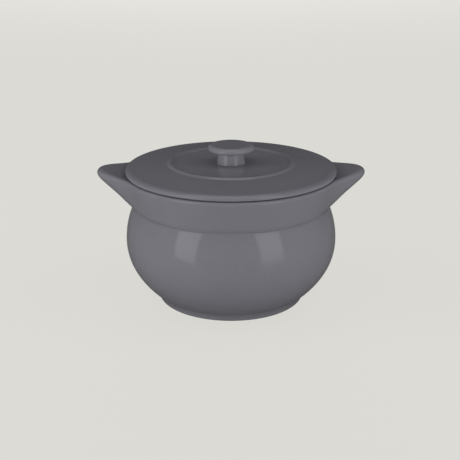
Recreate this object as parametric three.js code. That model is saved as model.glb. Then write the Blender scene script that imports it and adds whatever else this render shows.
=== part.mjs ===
// Soup tureen with a lid, in glazed ceramic. Millimetres, +Z up.
// The origin is the middle of the foot, on the table. The lugs point along +X and -X.
import * as THREE from 'three';

// Foot
const footRadius = 71.9; // outside, just above the table
const footHeight = 6.1; // table to the line where the belly starts
const footFlare = 1.8; // how much wider the foot is at that line
const footRound = 3; // outer edge at the table
const footWidth = 9; // flat ring that stands on the table
const footRecess = 4; // hollow under the pot, inside the ring
const recessSlope = 3; // how far the hollow's wall leans in

// Belly
const bellyRadius = 104; // widest
const bellyHeight = 61.7; // height of the widest place
const bellyFullness = 0.47; // less makes the underside of the belly fuller
const bellyWall = 6;
const floorThickness = 8;
const floorRadius = 48; // flat part of the floor inside

// Collar and rim
const neckDepth = 7.35; // the crease under the collar lies this far inside the belly's widest radius
const neckHeight = 96.4;
const collarFlare = 7.75; // the rim lies this far outside the crease
const rimHeight = 128.7;
const rimRound = 2.5; // outer edge of the rim
const rimWall = 6.5;
const mouthRound = 1.5; // inner edge of the rim

// Lugs, drawn out of the collar
const lugLength = 26.8; // rim to tip
const lugTipRadius = 25; // seen from above
const lugFlankRadius = 66; // hollow sweep from the rim to the tip, seen from above
const lugRise = 4.2; // tip above the rim
const lugDrop = 0.8; // the crease dips this much under a tip
const lugLip = 4; // round of the tip's edge, seen from the side

// Lid
const seatGap = 0.3; // between pieces that rest on one another
const lidInset = 1.2; // the lid's edge stands back from the rim's
const lidPlay = 1; // flat shelf left round the lid at the lugs
const lidUnderRound = 1.2; // lower edge
const lidSide = 2.6; // height where the upright edge starts to turn in
const lidShoulder = 7; // width of the rounded upper edge
const lidEdge = 5.8; // height of the lid's top just inside that edge
const lidRise = 2.8; // from there up to the middle
const lidWall = 5.5;
const ringRadius = 59.3; // raised ring on top
const ringWidth = 9.6;
const ringHeight = 1.7;
const flangeDepth = 9; // locating ring under the lid
const flangeWall = 5;
const flangeRound = 1.5;
const flangeClearance = 1.2; // to the inside of the collar

// Knob
const knobFootRadius = 14.7;
const stemRadius = 12.2; // just under the disc
const stemHeight = 12.5;
const stemFlare = 4; // the lower this is, the shorter the flare at the stem's foot
const stemFillet = 1.2;
const knobRadius = 22.5;
const knobThickness = 5.6;
const knobEdge = 3.2; // width of the disc's rounded edge

// Facets
const potColumns = 80;
const lidColumns = 64;
const knobColumns = 36;
const ringSteps = 10; // across the raised ring
const crowding = 0.5; // the pot's columns lie closer together towards the lugs

// Radii and heights that follow from the sizes above
const neckRadius = bellyRadius - neckDepth;
const rimRadius = neckRadius + collarFlare;
const mouthRadius = rimRadius - rimWall;
const lidRadius = rimRadius - lidInset;
const lidTop = lidEdge + lidRise;
const lidBase = rimHeight + seatGap;
const ringOuter = ringRadius + ringWidth / 2;

const point = (radius, height) => new THREE.Vector2(radius, height);

// Points of an arc in the plane of radius and height. It runs clockwise where it ends at a smaller angle.
function arc(centre, width, height, from, to, steps) {
  return new THREE.EllipseCurve(centre.x, centre.y, width, height, from, to, to < from).getPoints(steps);
}

// The lower belly sweeps up from the foot and is upright at the widest place.
const lowerBelly = new THREE.QuadraticBezierCurve(
  point(footRadius + footFlare, footHeight),
  point(bellyRadius, THREE.MathUtils.lerp(footHeight, bellyHeight, bellyFullness)),
  point(bellyRadius, bellyHeight),
);

// The upper belly is one arc, from the widest place to the crease.
const shoulderHeight = neckHeight - bellyHeight;
const shoulderRadius = (neckDepth ** 2 + shoulderHeight ** 2) / (2 * neckDepth);
const shoulderCentre = point(bellyRadius - shoulderRadius, bellyHeight);

// Points up the upper belly, on its outside or its inside, as far as a height on the outside
function shoulder(depth, height, steps) {
  const radius = shoulderRadius - depth;
  return arc(shoulderCentre, radius, radius, 0, Math.asin((height - bellyHeight) / shoulderRadius), steps);
}
const innerNeck = shoulder(bellyWall, neckHeight, 1)[1];

// Radius of the inside of the collar at a height
function collarInside(height) {
  const share = (height - innerNeck.y) / (rimHeight - mouthRound - innerNeck.y);
  return THREE.MathUtils.lerp(innerNeck.x, mouthRadius, share);
}

// Outline of rim and lugs from above: the radius at an angle. A hollow arc joins the round tip to the round rim.
function rimOutline(angle) {
  const fromLug = Math.acos(Math.abs(Math.cos(angle)));
  const tip = point(rimRadius + lugLength - lugTipRadius, 0);
  const toFlank = rimRadius + lugFlankRadius;
  const tipToFlank = lugTipRadius + lugFlankRadius;
  const flankAngle = Math.acos((toFlank ** 2 + tip.x ** 2 - tipToFlank ** 2) / (2 * toFlank * tip.x));
  if (fromLug >= flankAngle) {
    return rimRadius;
  }
  const flank = point(Math.cos(flankAngle), Math.sin(flankAngle)).multiplyScalar(toFlank);
  const touch = tip.clone().lerp(flank, lugTipRadius / tipToFlank);
  const ray = point(Math.cos(fromLug), Math.sin(fromLug));
  if (fromLug < touch.angle()) {
    const along = ray.dot(tip);
    return along + Math.sqrt(along ** 2 - tip.lengthSq() + lugTipRadius ** 2);
  }
  const along = ray.dot(flank);
  return along - Math.sqrt(along ** 2 - flank.lengthSq() + lugFlankRadius ** 2);
}

// Section of the pot at an angle, from the middle of its underside round to the middle of its floor
function potSection(angle) {
  const reach = rimOutline(angle);
  const pull = (reach - rimRadius) / lugLength;
  const lip = THREE.MathUtils.lerp(rimRound, lugLip, pull);
  const lipCentre = point(reach - lip, rimHeight + lugRise * pull - lip);

  // The flank runs straight from the crease and touches the round of the lip.
  const outside = shoulder(0, neckHeight - lugDrop * pull, 5);
  const crease = outside.at(-1);
  const toLip = lipCentre.clone().sub(crease);
  const flankAngle = toLip.angle() - Math.asin(lip / toLip.length());
  const lipArc = arc(lipCentre, lip, lip, flankAngle - Math.PI / 2, Math.PI / 2, 5);

  // The top of the rim is flat under the lid, and climbs from there to the lip of a lug.
  const seatInner = point(mouthRadius + mouthRound, rimHeight);
  const shelfRadius = THREE.MathUtils.lerp(seatInner.x, lipCentre.x, 1 / 3);
  const shelf = point(Math.min(lidRadius + lidPlay, shelfRadius), rimHeight);

  const footInner = footRadius - footRound - footWidth;
  const footEdge = point(footRadius - footRound, footRound);
  const floorHeight = footRecess + floorThickness;
  const floorEdge = point(floorRadius, bellyHeight);
  return [
    point(0, footRecess),
    point(footInner - recessSlope, footRecess),
    point(footInner, 0),
    ...arc(footEdge, footRound, footRound, -Math.PI / 2, 0, 3),
    ...lowerBelly.getPoints(9),
    ...outside.slice(1),
    ...new THREE.LineCurve(crease, lipArc[0]).getPoints(4).slice(1),
    ...lipArc.slice(1),
    shelf,
    ...arc(point(seatInner.x, rimHeight - mouthRound), mouthRound, mouthRound, Math.PI / 2, Math.PI, 2),
    ...shoulder(bellyWall, neckHeight, 4).reverse(),
    ...arc(
      floorEdge, bellyRadius - bellyWall - floorRadius, bellyHeight - floorHeight, 0, -Math.PI / 2, 8,
    ).slice(1),
    point(0, floorHeight),
  ];
}

// A closed skin through sections that start and end on the axis, one for each angle
function turnedGeometry(sectionAt, angles) {
  const sections = angles.map((angle) => sectionAt(angle));
  const rows = sections[0].length - 2;
  const positions = [0, 0, sections[0][0].y];
  sections.forEach((section, column) => {
    for (const { x: radius, y: height } of section.slice(1, -1)) {
      positions.push(radius * Math.cos(angles[column]), radius * Math.sin(angles[column]), height);
    }
  });
  positions.push(0, 0, sections[0][rows + 1].y);

  const indices = [];
  const last = positions.length / 3 - 1;
  for (let column = 0; column < angles.length; column += 1) {
    const here = 1 + column * rows;
    const next = 1 + ((column + 1) % angles.length) * rows;
    indices.push(0, next, here);
    for (let row = 0; row < rows - 1; row += 1) {
      indices.push(here + row, next + row, next + row + 1);
      indices.push(here + row, next + row + 1, here + row + 1);
    }
    indices.push(last, here + rows - 1, next + rows - 1);
  }
  const geometry = new THREE.BufferGeometry();
  geometry.setAttribute('position', new THREE.Float32BufferAttribute(positions, 3));
  geometry.setIndex(indices);
  geometry.computeVertexNormals();
  return geometry;
}

function potGeometry() {
  const angles = Array.from({ length: potColumns }, (_, column) => {
    const even = (2 * Math.PI * column) / potColumns;
    return even - (crowding / 2) * Math.sin(2 * even);
  });
  return turnedGeometry(potSection, angles);
}

// Height of the lid's top, without its ring, above the lid's seat
function lidCrown(radius) {
  const edge = lidRadius - lidShoulder;
  const share = THREE.MathUtils.clamp((edge - radius) / (edge - ringOuter), 0, 1);
  return lidEdge + lidRise * share;
}

// Section of the lid, with its seat on the rim at height 0
function lidSection() {
  const flangeOuter = (height) => collarInside(height + lidBase) - flangeClearance;
  const flangeEnd = point(flangeOuter(-flangeDepth) - flangeRound, flangeRound - flangeDepth);
  const flangeInner = flangeOuter(-flangeDepth) - flangeWall;
  const underEdge = point(lidRadius - lidUnderRound, lidUnderRound);
  const upperEdge = new THREE.QuadraticBezierCurve(
    point(lidRadius, lidSide), point(lidRadius, lidEdge), point(lidRadius - lidShoulder, lidEdge),
  );
  const ring = Array.from({ length: ringSteps + 1 }, (_, step) => {
    const across = 0.5 - step / ringSteps;
    const radius = ringRadius + ringWidth * across;
    const swell = 0.5 + 0.5 * Math.cos(2 * Math.PI * across);
    return point(radius, lidCrown(radius) + ringHeight * swell);
  });
  return [
    point(0, lidTop - lidWall),
    point(ringOuter, lidTop - lidWall),
    point(flangeInner, lidCrown(flangeInner) - lidWall),
    point(flangeInner, -flangeDepth),
    ...arc(flangeEnd, flangeRound, flangeRound, -Math.PI / 2, 0, 3),
    point(flangeOuter(0), 0),
    ...arc(underEdge, lidUnderRound, lidUnderRound, -Math.PI / 2, 0, 2),
    ...upperEdge.getPoints(5),
    ...ring,
    point(0, lidTop),
  ];
}

// Section of the knob, with its foot on the lid at height 0
function knobSection() {
  const half = knobThickness / 2;
  const fillet = point(stemRadius + stemFillet, stemHeight - stemFillet);
  const waist = new THREE.QuadraticBezierCurve(
    point(knobFootRadius, 0),
    point(stemRadius, stemFlare),
    point(stemRadius, stemHeight - stemFillet),
  );
  return [
    point(0, 0),
    ...waist.getPoints(6),
    ...arc(fillet, stemFillet, stemFillet, Math.PI, Math.PI / 2, 2).slice(1),
    ...arc(point(knobRadius - knobEdge, stemHeight + half), knobEdge, half, -Math.PI / 2, Math.PI / 2, 8),
    point(0, stemHeight + knobThickness),
  ];
}

// A round piece turned from its section, standing along Z
function latheGeometry(section, columns) {
  return new THREE.LatheGeometry(section, columns).rotateX(Math.PI / 2);
}

function piece(name, geometry, height) {
  const glaze = new THREE.MeshStandardMaterial({ color: 0x6b6a71, roughness: 0.3, metalness: 0 });
  const mesh = new THREE.Mesh(geometry, glaze);
  mesh.name = name;
  mesh.position.z = height;
  return mesh;
}

const lidParts = new THREE.Group();
lidParts.position.z = lidBase;
lidParts.add(piece('lid', latheGeometry(lidSection(), lidColumns), 0));
lidParts.add(piece('lid_knob', latheGeometry(knobSection(), knobColumns), lidTop + seatGap));

const tureen = new THREE.Group();
tureen.add(piece('pot', potGeometry(), 0));
tureen.add(lidParts);

export default tureen;
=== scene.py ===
import math

import bmesh
import bpy
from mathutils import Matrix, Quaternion, Vector


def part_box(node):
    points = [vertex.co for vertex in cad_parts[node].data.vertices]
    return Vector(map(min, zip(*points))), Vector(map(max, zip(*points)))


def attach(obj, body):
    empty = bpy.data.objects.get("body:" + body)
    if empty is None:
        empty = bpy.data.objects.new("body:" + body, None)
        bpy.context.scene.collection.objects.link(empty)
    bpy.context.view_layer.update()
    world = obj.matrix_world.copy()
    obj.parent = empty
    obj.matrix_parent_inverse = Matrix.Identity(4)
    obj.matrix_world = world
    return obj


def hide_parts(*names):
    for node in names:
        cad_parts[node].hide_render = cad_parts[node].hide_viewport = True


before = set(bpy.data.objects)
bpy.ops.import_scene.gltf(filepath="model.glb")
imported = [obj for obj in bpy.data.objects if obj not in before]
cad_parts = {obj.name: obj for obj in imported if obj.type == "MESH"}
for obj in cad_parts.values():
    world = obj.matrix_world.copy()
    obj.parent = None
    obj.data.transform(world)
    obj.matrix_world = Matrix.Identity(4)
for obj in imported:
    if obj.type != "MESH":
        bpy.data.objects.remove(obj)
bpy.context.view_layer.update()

mm = 0.001
weldDistance = 1e-6
zoneEnd = 0.999  # a point whose share is above this is the last of its zone
print("frame loaded:", ", ".join(sorted(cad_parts)))


# Outlines are drawn at y = 0 as one chain of vertices and then spun round the axis.
# Every point carries a zone, its share along that zone, and how far its colour goes towards the lighter
# glaze: thinner glaze at edges, and painted light on the knob's stem and the lugs' flanks.
def startOutline(radius, height):
    bm = bmesh.new()
    bm.verts.layers.int.new("zone")
    bm.verts.layers.float.new("along")
    bm.verts.layers.float.new("thinAndPaintedLight")
    bm.verts.new((radius * mm, 0, height * mm))
    bm.verts.ensure_lookup_table()
    return bm


def layersOf(bm):
    layers = bm.verts.layers
    return layers.int["zone"], layers.float["along"], layers.float["thinAndPaintedLight"]


def markStroke(bm, first, zone, thinAndPaintedLight):
    bm.verts.ensure_lookup_table()
    zoneLayer, alongLayer, thinAndPaintedLightLayer = layersOf(bm)
    stroke = bm.verts[first:]
    for count, vert in enumerate(stroke, 1):
        vert[zoneLayer] = zone
        vert[alongLayer] = count / len(stroke)
        vert[thinAndPaintedLightLayer] = thinAndPaintedLight


def curveTo(bm, points, zone=0, thinAndPaintedLight=0.0):
    first = len(bm.verts)
    for radius, height in points:
        grown = bmesh.ops.extrude_vert_indiv(bm, verts=[bm.verts[-1]])
        grown["verts"][0].co = (radius * mm, 0, height * mm)
        bm.verts.ensure_lookup_table()
    markStroke(bm, first, zone, thinAndPaintedLight)


def lineTo(bm, radius, height, steps=1, zone=0, thinAndPaintedLight=0.0):
    start = bm.verts[-1].co / mm
    shares = [step / steps for step in range(1, steps + 1)]
    points = [(start.x + (radius - start.x) * s, start.z + (height - start.z) * s) for s in shares]
    curveTo(bm, points, zone, thinAndPaintedLight)


def arcTo(bm, centreRadius, centreHeight, degrees, steps, zone=0, thinAndPaintedLight=0.0):
    first = len(bm.verts)
    bmesh.ops.spin(
        bm,
        geom=[bm.verts[-1]],
        cent=(centreRadius * mm, 0, centreHeight * mm),
        axis=(0, -1, 0),
        angle=math.radians(degrees),
        steps=steps,
    )
    markStroke(bm, first, zone, thinAndPaintedLight)


def ovalTo(bm, centre, size, fromAngle, toAngle, steps, thinAndPaintedLight=0.0):
    points = []
    for step in range(1, steps + 1):
        turn = math.radians(fromAngle + (toAngle - fromAngle) * step / steps)
        points.append((centre[0] + size[0] * math.cos(turn), centre[1] + size[1] * math.sin(turn)))
    curveTo(bm, points, thinAndPaintedLight=thinAndPaintedLight)


def bendTo(bm, control, end, steps, thinAndPaintedLight=0.0):
    start = bm.verts[-1].co / mm
    points = []
    for step in range(1, steps + 1):
        s = step / steps
        near, mid, far = (1 - s) ** 2, 2 * s * (1 - s), s * s
        points.append((
            near * start.x + mid * control[0] + far * end[0],
            near * start.z + mid * control[1] + far * end[1],
        ))
    curveTo(bm, points, thinAndPaintedLight=thinAndPaintedLight)


def spinRound(bm, columns):
    bmesh.ops.spin(
        bm,
        geom=bm.verts[:] + bm.edges[:],
        cent=(0, 0, 0),
        axis=(0, 0, 1),
        angle=2 * math.pi,
        steps=columns,
        use_merge=True,
    )
    bmesh.ops.remove_doubles(bm, verts=bm.verts[:], dist=weldDistance)
    bmesh.ops.recalc_face_normals(bm, faces=bm.faces[:])


def softenLoop(bm, zone, width, segments):
    # one point of the outline ends this zone, so its ring of edges is the corner to round
    zoneLayer, alongLayer, _ = layersOf(bm)
    corner = [
        edge for edge in bm.edges
        if all(v[zoneLayer] == zone and v[alongLayer] > zoneEnd for v in edge.verts)
    ]
    bmesh.ops.bevel(
        bm,
        geom=corner,
        offset=width * mm,
        offset_type="OFFSET",
        affect="EDGES",
        segments=segments,
        profile=0.5,
        material=-1,
        clamp_overlap=True,
    )


def finishPiece(bm, name, material):
    for face in bm.faces:
        face.smooth = True
    mesh = bpy.data.meshes.new(name)
    bm.to_mesh(mesh)
    bm.free()
    piece = bpy.data.objects.new(name, mesh)
    bpy.context.scene.collection.objects.link(piece)
    mesh.materials.append(material)
    print("made", name, len(mesh.polygons), "faces")
    return piece


def mix(first, second, share):
    return first + (second - first) * share


# Nodes: a value given to a socket is either another socket, which is linked, or a plain value
def setSocket(tree, socket, value):
    if isinstance(value, bpy.types.NodeSocket):
        tree.links.new(value, socket)
    else:
        socket.default_value = value


def addNode(tree, kind, place, **values):
    node = tree.nodes.new(kind)
    node.location = place
    for name, value in values.items():
        setSocket(tree, node.inputs[name], value)
    return node


def addMath(tree, place, operation, *values):
    node = addNode(tree, "ShaderNodeMath", place)
    node.operation = operation
    for socket, value in zip(node.inputs, values):
        setSocket(tree, socket, value)
    return node.outputs[0]


def addRange(tree, place, value, fromRange, toRange=(0.0, 1.0)):
    node = addNode(tree, "ShaderNodeMapRange", place, Value=value)
    for name, limit in zip(("From Min", "From Max", "To Min", "To Max"), fromRange + toRange):
        node.inputs[name].default_value = limit
    return node.outputs["Result"]


def addMix(tree, place, kind, factor, first, second):
    node = addNode(tree, "ShaderNodeMix", place)
    node.data_type = kind
    inputs = [socket for socket in node.inputs if socket.enabled]
    for socket, value in zip(inputs, (factor, first, second)):
        setSocket(tree, socket, value)
    return next(socket for socket in node.outputs if socket.enabled)


# Glaze shared by pot, lid and knob
glazeNoise = {
    "Patch": {"Detail": 5.0, "Roughness": 0.62, "Distortion": 0.6},  # clouds where the glaze pooled thicker
    "Fleck": {"Scale": 900.0, "Detail": 1.0, "Roughness": 0.4},  # fine iron flecks
    "Polish": {"Scale": 46.0, "Detail": 3.0, "Roughness": 0.5},  # satin and glossier clouds
    "Peel": {"Scale": 330.0, "Detail": 2.0, "Roughness": 0.45},  # the orange peel of a fired surface
}
cloudRange = (0.3, 0.7)
fleckRange = (0.66, 0.76)

potGlazeLook = {
    "thick": (0.150, 0.147, 0.165, 1),
    "even": (0.156, 0.153, 0.172, 1),
    # lighter colour of thinner glaze at edges; the same colour is painted as light on the knob's stem and the
    # lugs' flanks
    "thinAndPaintedLight": (0.168, 0.164, 0.183, 1),
    "fleck": (0.120, 0.117, 0.131, 1),
    "patchScale": 26.0,
    "roughness": (0.055, 0.085),
    "refraction": 1.48,
    "peelStrength": 0.5,
    "peelDepth": 0.000012,
}
lidGlazeLook = dict(potGlazeLook, thinAndPaintedLight=(0.161, 0.157, 0.175, 1), patchScale=31.0)
knobGlazeLook = dict(potGlazeLook, patchScale=31.0, roughness=(0.03, 0.045))
bareClay = {
    "pale": (0.46, 0.40, 0.34, 1),
    "dark": (0.30, 0.26, 0.22, 1),
    "below": (0.0007, 0.00042),  # heights between which glaze gives way to clay
    "grain": {"Scale": 1400.0, "Detail": 4.0},
    "roughness": 0.9,
}


def makeGlazeGroup():
    group = bpy.data.node_groups.new("glazeVariation", "ShaderNodeTree")
    group.interface.new_socket("Position", in_out="INPUT", socket_type="NodeSocketVector")
    group.interface.new_socket("Patch Scale", in_out="INPUT", socket_type="NodeSocketFloat")
    source = addNode(group, "NodeGroupInput", (-800, 0))
    noise = {}
    for row, (name, values) in enumerate(glazeNoise.items()):
        group.interface.new_socket(name, in_out="OUTPUT", socket_type="NodeSocketFloat")
        node = addNode(group, "ShaderNodeTexNoise", (-500, 300 - 300 * row), **values)
        setSocket(group, node.inputs["Vector"], source.outputs["Position"])
        if name == "Patch":
            setSocket(group, node.inputs["Scale"], source.outputs["Patch Scale"])
        noise[name] = node.outputs["Fac"]
    noise["Patch"] = addRange(group, (-200, 300), noise["Patch"], cloudRange)
    noise["Fleck"] = addRange(group, (-200, 0), noise["Fleck"], fleckRange)
    addNode(group, "NodeGroupOutput", (500, 0), **noise)
    return group


glazeGroup = makeGlazeGroup()


def makeGlaze(name, look, bareFoot):
    material = bpy.data.materials.new(name)
    material.use_nodes = True
    tree = material.node_tree
    position = addNode(tree, "ShaderNodeTexCoord", (-1400, 0)).outputs["Object"]
    glaze = tree.nodes.new("ShaderNodeGroup")
    glaze.node_tree = glazeGroup
    glaze.location = (-1100, 0)
    setSocket(tree, glaze.inputs["Position"], position)
    setSocket(tree, glaze.inputs["Patch Scale"], look["patchScale"])
    # mask of thinner glaze at edges, which also carries painted light on the knob's stem and the lugs' flanks
    edge = addNode(tree, "ShaderNodeAttribute", (-1100, 400))
    edge.attribute_name = "thinAndPaintedLight"

    colour = addMix(tree, (-800, 300), "RGBA", glaze.outputs["Patch"], look["thick"], look["even"])
    colour = addMix(tree, (-600, 300), "RGBA", edge.outputs["Fac"], colour, look["thinAndPaintedLight"])
    colour = addMix(tree, (-400, 300), "RGBA", glaze.outputs["Fleck"], colour, look["fleck"])
    rough = addRange(tree, (-600, -50), glaze.outputs["Polish"], cloudRange, look["roughness"])
    if bareFoot:
        # the flat that the pot was fired on is wiped clean of glaze
        height = addNode(tree, "ShaderNodeSeparateXYZ", (-1100, -400), Vector=position).outputs["Z"]
        bare = addRange(tree, (-900, -400), height, bareClay["below"])
        grain = addNode(tree, "ShaderNodeTexNoise", (-900, -650), Vector=position, **bareClay["grain"])
        clay = addMix(tree, (-650, -450), "RGBA", grain.outputs["Fac"], bareClay["dark"], bareClay["pale"])
        colour = addMix(tree, (-200, 200), "RGBA", bare, colour, clay)
        rough = addMix(tree, (-350, -100), "FLOAT", bare, rough, bareClay["roughness"])

    bump = addNode(tree, "ShaderNodeBump", (-300, -350), Height=glaze.outputs["Peel"])
    bump.inputs["Strength"].default_value = look["peelStrength"]
    bump.inputs["Distance"].default_value = look["peelDepth"]
    surface = {
        "Base Color": colour,
        "Roughness": rough,
        "IOR": look["refraction"],
        "Normal": bump.outputs["Normal"],
    }
    for socketName, value in surface.items():
        setSocket(tree, tree.nodes["Principled BSDF"].inputs[socketName], value)
    return material


potGlaze = makeGlaze("potGlaze", potGlazeLook, True)
lidGlaze = makeGlaze("lidGlaze", lidGlazeLook, False)
knobGlaze = makeGlaze("knobGlaze", knobGlazeLook, False)
print("glazes ready")


# Pot: foot ring, belly, collar and the two lugs drawn out of it
potHigh = Vector(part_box("pot")[1]) / mm
pot = {
    "footRadius": 72.4,
    "footHeight": 7.9,
    "footFlare": 2.7,
    "footRound": 3.4,
    "footWidth": 9.7,
    "footThin": 0.5,
    "footSoft": 0.8,  # fillet of glaze where belly meets foot
    "footRecess": 4.0,
    "roofEnd": 3.2,  # the roof of the recess ends this far inside the flat
    "roofBend": 1.6,
    "wallFoot": (0.9, 1.2),  # and its wall ends this far inside, this high
    "flatBend": 0.3,
    "flatStart": 1.0,
    "flatThin": 0.6,
    "bellyRadius": 104.0,
    "bellyHeight": 61.7,
    "bellyFull": 0.455,  # lower is a fuller underside
    "bellyWall": 6.0,
    "floorThickness": 8.0,
    "floorRadius": 48.0,
    "neckDepth": 8.1,
    "neckHeight": 97.5,
    "creaseDepth": 0.9,  # the crease under the collar is pressed in by this much
    "creaseSoft": 0.3,
    "creaseFade": 0.5,  # it runs out this far along the pull of a lug
    "innerNeckSoft": 5.0,
    "rimRadius": potHigh.y,
    "rimHeight": 128.7,
    "rimRound": 2.5,
    "rimWall": 6.5,
    "mouthRound": 1.5,
    "mouthThin": 0.7,
    "lugReach": potHigh.x + 1.7,  # softening takes the tip back to the solid's
    "lugTop": potHigh.z + 1.1,
    "lugTipRadius": 25.0,
    "lugFlankRadius": 66.0,
    "lugDrop": 2.6,  # the crease is lower by this under the tip
    "lugLip": 5.2,
    "lugFlankPaintedLight": 3.0,  # painted light: how fast a lug's flank is painted lighter along its pull
    "lugShelf": 1 / 3,  # least share of a lug's top that stays flat
    "lipStart": 0.4,  # the softened edge of a lug starts this far outside the rim
    "lipFlank": 0.3,  # and takes in the flank above this share
    "lipTop": 0.8,  # and the top up to this share
    "lipSoft": 28,  # rounds of softening
    "lipShare": 0.5,  # how far each round goes
    "lidEdge": 104.2,  # the rim's top stays flat out to here
    "softSegments": 3,
    "columns": 288,
}
zoneShoulder, zoneFlank, zoneLip, zoneTop, zoneFoot = range(1, 6)

bellyRise = pot["neckHeight"] - pot["bellyHeight"]
shoulderRadius = (pot["neckDepth"] ** 2 + bellyRise ** 2) / (2 * pot["neckDepth"])
shoulderCentre = Vector((pot["bellyRadius"] - shoulderRadius, pot["bellyHeight"]))
mouthRadius = pot["rimRadius"] - pot["rimWall"]
seatInner = mouthRadius + pot["mouthRound"]

# the rim from above is a round tip and a hollow flank that touches both the tip and the round rim
lugLength = pot["lugReach"] - pot["rimRadius"]
lugRise = pot["lugTop"] - pot["rimHeight"]
toFlank = pot["rimRadius"] + pot["lugFlankRadius"]
tipToFlank = pot["lugTipRadius"] + pot["lugFlankRadius"]
tipCentre = Vector((pot["lugReach"] - pot["lugTipRadius"], 0))
flankAngle = math.acos((toFlank ** 2 + tipCentre.x ** 2 - tipToFlank ** 2) / (2 * toFlank * tipCentre.x))
flankCentre = Vector((math.cos(flankAngle), math.sin(flankAngle))) * toFlank
touch = tipCentre.lerp(flankCentre, pot["lugTipRadius"] / tipToFlank)
touchAngle = math.atan2(touch.y, touch.x)


def pullAt(angle):
    # how far the rim is drawn out at an angle round the axis: 0 on the plain rim, 1 at the tip of a lug
    fromLug = math.acos(min(1.0, abs(math.cos(angle))))
    if fromLug >= flankAngle:
        return 0.0
    ray = Vector((math.cos(fromLug), math.sin(fromLug)))
    if fromLug < touchAngle:
        along = ray.dot(tipCentre)
        radius = along + math.sqrt(along ** 2 - tipCentre.length_squared + pot["lugTipRadius"] ** 2)
    else:
        along = ray.dot(flankCentre)
        radius = along - math.sqrt(along ** 2 - flankCentre.length_squared + pot["lugFlankRadius"] ** 2)
    return (radius - pot["rimRadius"]) / lugLength


def collarAt(pull):
    # crease, straight flank and round lip for a pull from 0 (plain rim) to 1 (tip of a lug)
    lip = mix(pot["rimRound"], pot["lugLip"], pull)
    reach = pot["rimRadius"] + lugLength * pull
    lipCentre = Vector((reach - lip, pot["rimHeight"] + lugRise * pull - lip))
    creaseRise = bellyRise - pot["lugDrop"] * pull
    creaseAngle = math.asin(creaseRise / shoulderRadius)
    crease = Vector((
        shoulderCentre.x + shoulderRadius * math.cos(creaseAngle),
        pot["bellyHeight"] + creaseRise,
    ))
    toLip = lipCentre - crease
    lean = math.atan2(toLip.y, toLip.x) - math.asin(lip / toLip.length)
    return lip, lipCentre, creaseAngle, crease, lean - math.pi / 2


def onArc(centre, radius, angle):
    return Vector((centre.x + radius * math.cos(angle), centre.y + radius * math.sin(angle)))


def drawPot():
    roof = pot["footRecess"]
    footSide = pot["footRadius"] - pot["footRound"]
    footInner = footSide - pot["footWidth"]
    wallIn, wallUp = pot["wallFoot"]
    lip, lipCentre, creaseAngle, _, lipStart = collarAt(0)
    lipFoot = onArc(lipCentre, lip, lipStart)

    # foot and outside
    bm = startOutline(0, roof)
    lineTo(bm, footInner - pot["roofEnd"], roof, steps=6)
    bendTo(bm, (footInner - pot["roofBend"], roof), (footInner - wallIn, wallUp), steps=4)
    flatStart = (footInner + pot["flatStart"], 0)
    bendTo(bm, (footInner - pot["flatBend"], 0), flatStart, steps=4, thinAndPaintedLight=pot["flatThin"])
    lineTo(bm, footSide, 0, steps=4)
    arcTo(bm, footSide, pot["footRound"], 90, steps=8, thinAndPaintedLight=pot["footThin"])
    lineTo(bm, pot["footRadius"] + pot["footFlare"], pot["footHeight"], steps=3, zone=zoneFoot)
    full = (pot["bellyRadius"], mix(pot["footHeight"], pot["bellyHeight"], pot["bellyFull"]))
    bendTo(bm, full, (pot["bellyRadius"], pot["bellyHeight"]), steps=36)
    arcTo(bm, *shoulderCentre, math.degrees(creaseAngle), steps=56, zone=zoneShoulder)
    lineTo(bm, *lipFoot, steps=16, zone=zoneFlank)
    arcTo(bm, *lipCentre, 90 - math.degrees(lipStart), steps=12, zone=zoneLip)

    # rim and inside
    lineTo(bm, seatInner, pot["rimHeight"], steps=12, zone=zoneTop)
    mouth = Vector((mouthRadius, pot["rimHeight"] - pot["mouthRound"]))
    arcTo(bm, seatInner, mouth.y, 90, steps=5, thinAndPaintedLight=pot["mouthThin"])
    innerRadius = shoulderRadius - pot["bellyWall"]
    innerNeck = onArc(shoulderCentre, innerRadius, creaseAngle)
    softStart = innerNeck.lerp(mouth, pot["innerNeckSoft"] / (mouth - innerNeck).length)
    softAngle = creaseAngle - pot["innerNeckSoft"] / innerRadius
    lineTo(bm, *softStart, steps=10)
    bendTo(bm, innerNeck, onArc(shoulderCentre, innerRadius, softAngle), steps=8)
    arcTo(bm, *shoulderCentre, -math.degrees(softAngle), steps=16)
    floorTop = roof + pot["floorThickness"]
    bowl = (pot["bellyRadius"] - pot["bellyWall"] - pot["floorRadius"], pot["bellyHeight"] - floorTop)
    ovalTo(bm, (pot["floorRadius"], pot["bellyHeight"]), bowl, 0, -90, steps=24)
    lineTo(bm, 0, floorTop, steps=6)
    return bm


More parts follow.
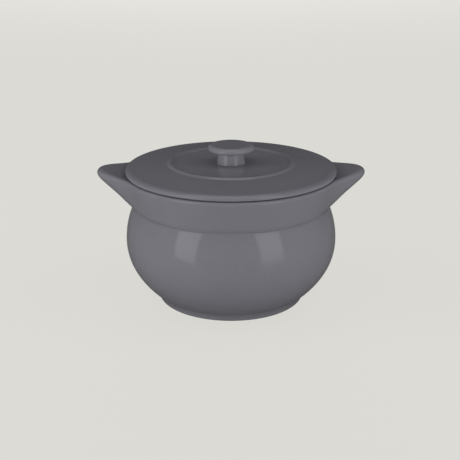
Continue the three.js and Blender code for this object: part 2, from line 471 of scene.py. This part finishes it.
def drawOutLugs(bm):
    zoneLayer, alongLayer, thinAndPaintedLightLayer = layersOf(bm)
    for vert in bm.verts:
        zone, along = vert[zoneLayer], vert[alongLayer]
        angle = math.atan2(vert.co.y, vert.co.x)
        pull = pullAt(angle)
        if pull <= 0 or zone not in (zoneShoulder, zoneFlank, zoneLip, zoneTop):
            continue
        lip, lipCentre, creaseAngle, crease, lipStart = collarAt(pull)
        if zone == zoneShoulder:
            place = onArc(shoulderCentre, shoulderRadius, creaseAngle * along)
        elif zone == zoneFlank:
            place = crease.lerp(onArc(lipCentre, lip, lipStart), along)
            # painted light: the flank is painted lighter towards the tip of the lug
            vert[thinAndPaintedLightLayer] = min(1.0, pull * pot["lugFlankPaintedLight"])
        elif zone == zoneLip:
            place = onArc(lipCentre, lip, mix(lipStart, math.pi / 2, along))
        else:
            # the top falls straight from the lip to the flat seat of the lid
            radius = mix(lipCentre.x, seatInner, along)
            shelf = min(pot["lidEdge"], mix(seatInner, lipCentre.x, pot["lugShelf"]))
            share = max(0.0, (radius - shelf) / (lipCentre.x - shelf))
            place = Vector((radius, pot["rimHeight"] + lugRise * pull * share))
        vert.co = (place.x * mm * math.cos(angle), place.x * mm * math.sin(angle), place.y * mm)


def softenLips(bm):
    # the glaze rounds the long edge from the rim to the tip of a lug
    zoneLayer, alongLayer, _ = layersOf(bm)
    outside = (pot["rimRadius"] + pot["lipStart"]) * mm
    edge = []
    for vert in bm.verts:
        zone, along = vert[zoneLayer], vert[alongLayer]
        onFlank = zone == zoneFlank and along > pot["lipFlank"]
        onTop = zone == zoneTop and along < pot["lipTop"]
        if (zone == zoneLip or onFlank or onTop) and vert.co.xy.length > outside:
            edge.append(vert)
    axes = {"use_axis_x": True, "use_axis_y": True, "use_axis_z": True}
    for _ in range(pot["lipSoft"]):
        bmesh.ops.smooth_vert(bm, verts=edge, factor=pot["lipShare"], **axes)


def pressCrease(bm):
    zoneLayer, alongLayer, _ = layersOf(bm)
    for vert in bm.verts:
        if vert[zoneLayer] == zoneShoulder and vert[alongLayer] > zoneEnd:
            pull = pullAt(math.atan2(vert.co.y, vert.co.x))
            depth = pot["creaseDepth"] * max(0.0, 1 - pull / pot["creaseFade"])
            vert.co.xy *= 1 - depth * mm / vert.co.xy.length


potMesh = drawPot()
spinRound(potMesh, pot["columns"])
drawOutLugs(potMesh)
softenLips(potMesh)
pressCrease(potMesh)
softenLoop(potMesh, zoneShoulder, pot["creaseSoft"], pot["softSegments"])
softenLoop(potMesh, zoneFoot, pot["footSoft"], pot["softSegments"])
potPiece = finishPiece(potMesh, "tureenPot", potGlaze)
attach(potPiece, "pot")
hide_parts("pot")


# Lid: low crown with a raised ring, rounded edge and a flange that drops into the mouth
lidLow, lidHigh = (Vector(corner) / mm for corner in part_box("lid"))
lid = {
    "radius": lidHigh.x,
    "seat": 129.0,
    "underRound": 0.8,
    "underGap": 0.6,  # the edge stands this much clear of the rim
    "seatRadius": 99.8,
    "side": 2.6,
    "shoulder": 7.0,
    "edge": 5.8,
    "rise": 2.8,
    "wall": 5.5,
    "ringRadius": 59.3,
    "ringWidth": 9.6,
    "ringHeight": 1.7,
    "ringSteps": 24,
    "hollowRound": 2.0,  # where the hollow's roof turns down into the flange
    "flangeFoot": 95.2,
    "flangeTop": 97.1,
    "flangeWall": 5.0,
    "flangeRound": 1.5,
    "flangeInnerRound": 1.0,
    "thinAndPaintedLight": 0.6,  # on the flange's foot and the top of the ring
    "columns": 224,
}
ringOuter = lid["ringRadius"] + lid["ringWidth"] / 2


def lidCrown(radius):
    edge = lid["radius"] - lid["shoulder"]
    share = (edge - radius) / (edge - lid["ringRadius"] - lid["ringWidth"] / 2)
    return lid["seat"] + lid["edge"] + lid["rise"] * max(0.0, min(1.0, share))


def drawLid():
    seat, under, foot = lid["seat"], lid["underRound"], lidLow.z
    roof = lidCrown(0) - lid["wall"]
    flangeInner = lid["flangeFoot"] - lid["flangeWall"]
    flangeSide = lid["flangeFoot"] - lid["flangeRound"]
    flangeRoof = lidCrown(flangeInner) - lid["wall"]
    innerRound = lid["flangeInnerRound"]

    # hollow and flange
    bm = startOutline(0, roof)
    lineTo(bm, ringOuter, roof, steps=8)
    lineTo(bm, flangeInner - lid["hollowRound"], flangeRoof, steps=6)
    bendTo(bm, (flangeInner, flangeRoof), (flangeInner, seat - lid["hollowRound"]), steps=4)
    lineTo(bm, flangeInner, foot + innerRound, steps=4)
    bendTo(bm, (flangeInner, foot), (flangeInner + innerRound, foot), steps=3, thinAndPaintedLight=lid["thinAndPaintedLight"])
    lineTo(bm, flangeSide, foot, steps=2)
    arcTo(bm, flangeSide, foot + lid["flangeRound"], 90, steps=5, thinAndPaintedLight=lid["thinAndPaintedLight"])
    lineTo(bm, lid["flangeTop"], seat, steps=5)
    lineTo(bm, lid["seatRadius"], seat, steps=2)

    # edge, ring and crown
    edgeFoot = seat + lid["underGap"]
    lineTo(bm, lid["seatRadius"] + lid["underGap"], edgeFoot, steps=2)
    lineTo(bm, lid["radius"] - under, edgeFoot, steps=2)
    arcTo(bm, lid["radius"] - under, edgeFoot + under, 90, steps=6)
    lineTo(bm, lid["radius"], seat + lid["side"], steps=2)
    shoulder = (lid["shoulder"], lid["edge"] - lid["side"])
    ovalTo(bm, (lid["radius"] - lid["shoulder"], seat + lid["side"]), shoulder, 0, 90, steps=14)
    lineTo(bm, ringOuter, lidCrown(ringOuter), steps=12)
    for step in range(1, lid["ringSteps"] + 1):
        across = 0.5 - step / lid["ringSteps"]
        radius = lid["ringRadius"] + lid["ringWidth"] * across
        swell = 0.5 + 0.5 * math.cos(2 * math.pi * across)
        curveTo(bm, [(radius, lidCrown(radius) + lid["ringHeight"] * swell)], thinAndPaintedLight=lid["thinAndPaintedLight"] * swell)
    lineTo(bm, 0, lidCrown(0), steps=12)
    return bm


lidMesh = drawLid()
spinRound(lidMesh, lid["columns"])
lidPiece = finishPiece(lidMesh, "tureenLid", lidGlaze)
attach(lidPiece, "lid")
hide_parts("lid")


# Knob: slightly waisted stem and a flat disc, stuck on the lid with slip
knobLow, knobHigh = (Vector(corner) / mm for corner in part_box("lid_knob"))
knob = {
    "footRadius": 14.2,
    "waist": 0.35,  # how far the stem's side is drawn in from a straight cone
    "sunk": 0.9,  # how far the foot goes into the lid's top
    "stemRadius": 11.8,
    "stemFillet": 1.2,
    # painted light: the whole stem is painted lighter
    "stemPaintedLight": 1.0,
    "footFillet": 0.5,  # slip that was smoothed round the foot
    "slipSunk": 0.5,
    "slipIn": 0.1,
    "thickness": 6.1,
    "widest": 2.4,  # height of the disc's widest point over its underside
    "edgeUnder": 2.6,
    "edgeOver": 4.4,
    "edgeThin": 0.6,
    "columns": 128,
}


def drawKnob():
    base = knobLow.z
    disc = knobHigh.z - knob["thickness"]
    widest = disc + knob["widest"]
    stem, fillet = knob["stemRadius"], knob["stemFillet"]
    foot, slip = knob["footRadius"], knob["footFillet"]
    slipFoot = base - knob["slipSunk"]
    bm = startOutline(0, base - knob["sunk"])
    lineTo(bm, foot + slip, base - knob["sunk"], steps=3)
    lineTo(bm, foot + slip, slipFoot)
    bendTo(bm, (foot, slipFoot), (foot - knob["slipIn"], base + slip), steps=6)
    halfway = (mix(foot, stem, 0.5) - knob["waist"], mix(base, disc, 0.5))
    # painted light on the stem
    bendTo(bm, halfway, (stem, disc - fillet), steps=20, thinAndPaintedLight=knob["stemPaintedLight"])
    arcTo(bm, stem + fillet, disc - fillet, -90, steps=6)
    lineTo(bm, knobHigh.x - knob["edgeUnder"], disc, steps=3)
    edges = (
        (-90, 0, knob["edgeUnder"], knob["widest"]),
        (0, 90, knob["edgeOver"], knob["thickness"] - knob["widest"]),
    )
    for start, end, wide, tall in edges:
        ovalTo(bm, (knobHigh.x - wide, widest), (wide, tall), start, end, steps=12, thinAndPaintedLight=knob["edgeThin"])
    lineTo(bm, 0, knobHigh.z, steps=10)
    return bm


knobMesh = drawKnob()
spinRound(knobMesh, knob["columns"])
knobPiece = finishPiece(knobMesh, "lidKnob", knobGlaze)
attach(knobPiece, "lid")
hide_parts("lid_knob")


# Floor, lamps, world and camera
studio = {
    "floorReach": 8.0,
    "floorFront": 0.33,  # the table ends here, and the two boxes stand in front of it
    "floorSide": 1.3,  # and here, short of the wings
    "floorDrop": -0.0001,
    "floorColour": (0.54, 0.54, 0.55, 1),
    "floorSeen": (0.08, 0.079, 0.075, 1),  # the same paper where it is looked at, to which the glow is added
    "floorGlow": (0.708, 0.701, 0.665, 1),
    "floorGlowStrength": 0.92,
    "floorMirrored": 0.08,  # share of that glow which shows in the glaze
    "aim": (0, 0, 0.0679),
    "worldColour": (0.98, 0.97, 1.05, 1),
    "worldStrength": 0.034,
}
# way: azimuth from the front to the right, and elevation, in degrees
# The two boxes fade out below in two steps each. The fills aren't mirrored in the glaze, except the top
# panel.
box = {"distance": 2.0, "spread": 105, "mirrored": True}
leftBox = dict(box, roll=-4)
rightBox = dict(box, roll=4)
fill = {"roll": 0, "spread": 180, "mirrored": False}
lamps = {
    "leftBox": dict(leftBox, way=(-48, 15.2), size=(0.88, 1.44), watts=1.71),
    "leftBoxFoot": dict(leftBox, way=(-48.4, -6.5), size=(0.85, 0.135), watts=0.102),
    "leftBoxToe": dict(leftBox, way=(-48.8, -10.4), size=(0.84, 0.135), watts=0.05),
    "rightBox": dict(rightBox, way=(41.5, 15.2), size=(0.90, 1.44), watts=1.55),
    "rightBoxFoot": dict(rightBox, way=(41.9, -6.5), size=(0.87, 0.135), watts=0.092),
    "rightBoxToe": dict(rightBox, way=(42.3, -10.4), size=(0.86, 0.135), watts=0.045),
    "leftFill": dict(fill, way=(-50, -5), distance=2.2, size=(1.2, 0.9), watts=8.2),
    "rightFill": dict(fill, way=(50, -5), distance=2.2, size=(1.2, 0.9), watts=11.6),
    "leftWing": dict(fill, way=(-80, 4), distance=2.0, size=(0.9, 1.6), watts=30.5),
    "rightWing": dict(fill, way=(80, 4), distance=2.0, size=(0.9, 1.6), watts=19.5),
    "frontFill": dict(fill, way=(0, 9), distance=2.2, size=(2.0, 0.8), watts=23.5),
    "backFill": dict(fill, way=(180, 16), distance=3.4, size=(2.6, 0.7), watts=52.0),
    "leftPanel": dict(fill, way=(-90, 48), distance=2.4, size=(1.2, 1.2), watts=6.4),
    "rightPanel": dict(fill, way=(90, 48), distance=2.4, size=(1.2, 1.2), watts=8.8),
    "topPanel": dict(fill, way=(0, 88), distance=2.4, size=(2.0, 2.0), watts=11.2, mirrored=True),
}


def aroundAim(azimuth, elevation, distance):
    a, e = math.radians(azimuth), math.radians(elevation)
    way = Vector((math.sin(a) * math.cos(e), -math.cos(a) * math.cos(e), math.sin(e)))
    return Vector(studio["aim"]) + way * distance


def makeLamp(name, setting):
    light = bpy.data.lights.new(name, "AREA")
    light.shape = "RECTANGLE"
    light.size, light.size_y = setting["size"]
    light.energy = setting["watts"]
    light.spread = math.radians(setting["spread"])
    lamp = bpy.data.objects.new(name, light)
    lamp.location = aroundAim(*setting["way"], setting["distance"])
    facing = (Vector(studio["aim"]) - lamp.location).to_track_quat("-Z", "Y")
    lamp.rotation_euler = (facing @ Quaternion((0, 0, 1), math.radians(setting["roll"]))).to_euler()
    lamp.visible_camera = False
    lamp.visible_glossy = setting["mirrored"]
    bpy.context.scene.collection.objects.link(lamp)


for lampName, lampSetting in lamps.items():
    makeLamp(lampName, lampSetting)

# the world lights the pot faintly and shows the floor's tone past the end of the table
world = bpy.data.worlds.new("studioWorld")
world.use_nodes = True
worldTree = world.node_tree
background = worldTree.nodes["Background"]
background.inputs["Color"].default_value = studio["worldColour"]
background.inputs["Strength"].default_value = studio["worldStrength"]
beyond = addNode(worldTree, "ShaderNodeBackground", (0, -200), Color=studio["floorGlow"], Strength=1.0)
worldRays = addNode(worldTree, "ShaderNodeLightPath", (0, 500))
pick = addNode(worldTree, "ShaderNodeMixShader", (300, 100))
worldParts = (worldRays.outputs["Is Camera Ray"], background.outputs[0], beyond.outputs[0])
for pickSocket, worldPart in zip(pick.inputs, worldParts):
    setSocket(worldTree, pickSocket, worldPart)
setSocket(worldTree, worldTree.nodes["World Output"].inputs["Surface"], pick.outputs[0])
bpy.context.scene.world = world

floorMesh = bmesh.new()
bmesh.ops.create_grid(floorMesh, x_segments=1, y_segments=1, size=studio["floorReach"])
bmesh.ops.scale(floorMesh, verts=floorMesh.verts, vec=(studio["floorSide"] / studio["floorReach"], 1, 1))
floorShift = (0, studio["floorReach"] - studio["floorFront"], studio["floorDrop"])
bmesh.ops.translate(floorMesh, verts=floorMesh.verts, vec=floorShift)
floorData = bpy.data.meshes.new("studioFloor")
floorMesh.to_mesh(floorData)
floorMesh.free()
floor = bpy.data.objects.new("studioFloor", floorData)
bpy.context.scene.collection.objects.link(floor)

# paper that bounces light, and a glow for the camera and a little for mirrored rays
floorMaterial = bpy.data.materials.new("floorPaper")
floorMaterial.use_nodes = True
tree = floorMaterial.node_tree
tree.nodes.remove(tree.nodes["Principled BSDF"])
rays = addNode(tree, "ShaderNodeLightPath", (-1000, -200)).outputs
mirrored = addMath(tree, (-800, -300), "MAXIMUM", rays["Is Glossy Ray"], rays["Is Transmission Ray"])
lookedAt = addMath(tree, (-700, 100), "MAXIMUM", rays["Is Camera Ray"], mirrored)
paperColour = addMix(tree, (-550, 150), "RGBA", lookedAt, studio["floorColour"], studio["floorSeen"])
paper = addNode(tree, "ShaderNodeBsdfDiffuse", (-350, 100), Color=paperColour)
seenParts = (mirrored, studio["floorMirrored"], rays["Is Camera Ray"])
seen = addMath(tree, (-700, -200), "MULTIPLY_ADD", *seenParts)
level = addMath(tree, (-550, -200), "MULTIPLY", seen, studio["floorGlowStrength"])
glow = addNode(tree, "ShaderNodeEmission", (-400, -100), Color=studio["floorGlow"], Strength=level)
both = addNode(tree, "ShaderNodeAddShader", (-150, 0))
setSocket(tree, both.inputs[0], paper.outputs[0])
setSocket(tree, both.inputs[1], glow.outputs[0])
setSocket(tree, tree.nodes["Material Output"].inputs["Surface"], both.outputs[0])
floorData.materials.append(floorMaterial)

photoCamera = {
    "azimuth": -0.5,
    "elevation": 19.0,
    "distance": 1.0,
    "lens": 78.26,
    "sensor": 36.0,
    "nearest": 0.01,
    "aside": -0.00105,  # the axis stands a little right of the picture's middle
}
cameraData = bpy.data.cameras.new("photoCamera")
cameraData.lens = photoCamera["lens"]
cameraData.sensor_width = photoCamera["sensor"]
cameraData.clip_start = photoCamera["nearest"]
camera = bpy.data.objects.new("photoCamera", cameraData)
turn = math.radians(photoCamera["azimuth"])
aside = Vector((math.cos(turn), math.sin(turn), 0)) * photoCamera["aside"]
camera.location = aroundAim(photoCamera["azimuth"], photoCamera["elevation"], photoCamera["distance"]) + aside
looking = (Vector(studio["aim"]) + aside - camera.location).to_track_quat("-Z", "Y")
camera.rotation_euler = looking.to_euler()
bpy.context.scene.collection.objects.link(camera)
bpy.context.scene.camera = camera
bpy.context.scene.view_settings.view_transform = "Standard"
print("studio and camera ready")
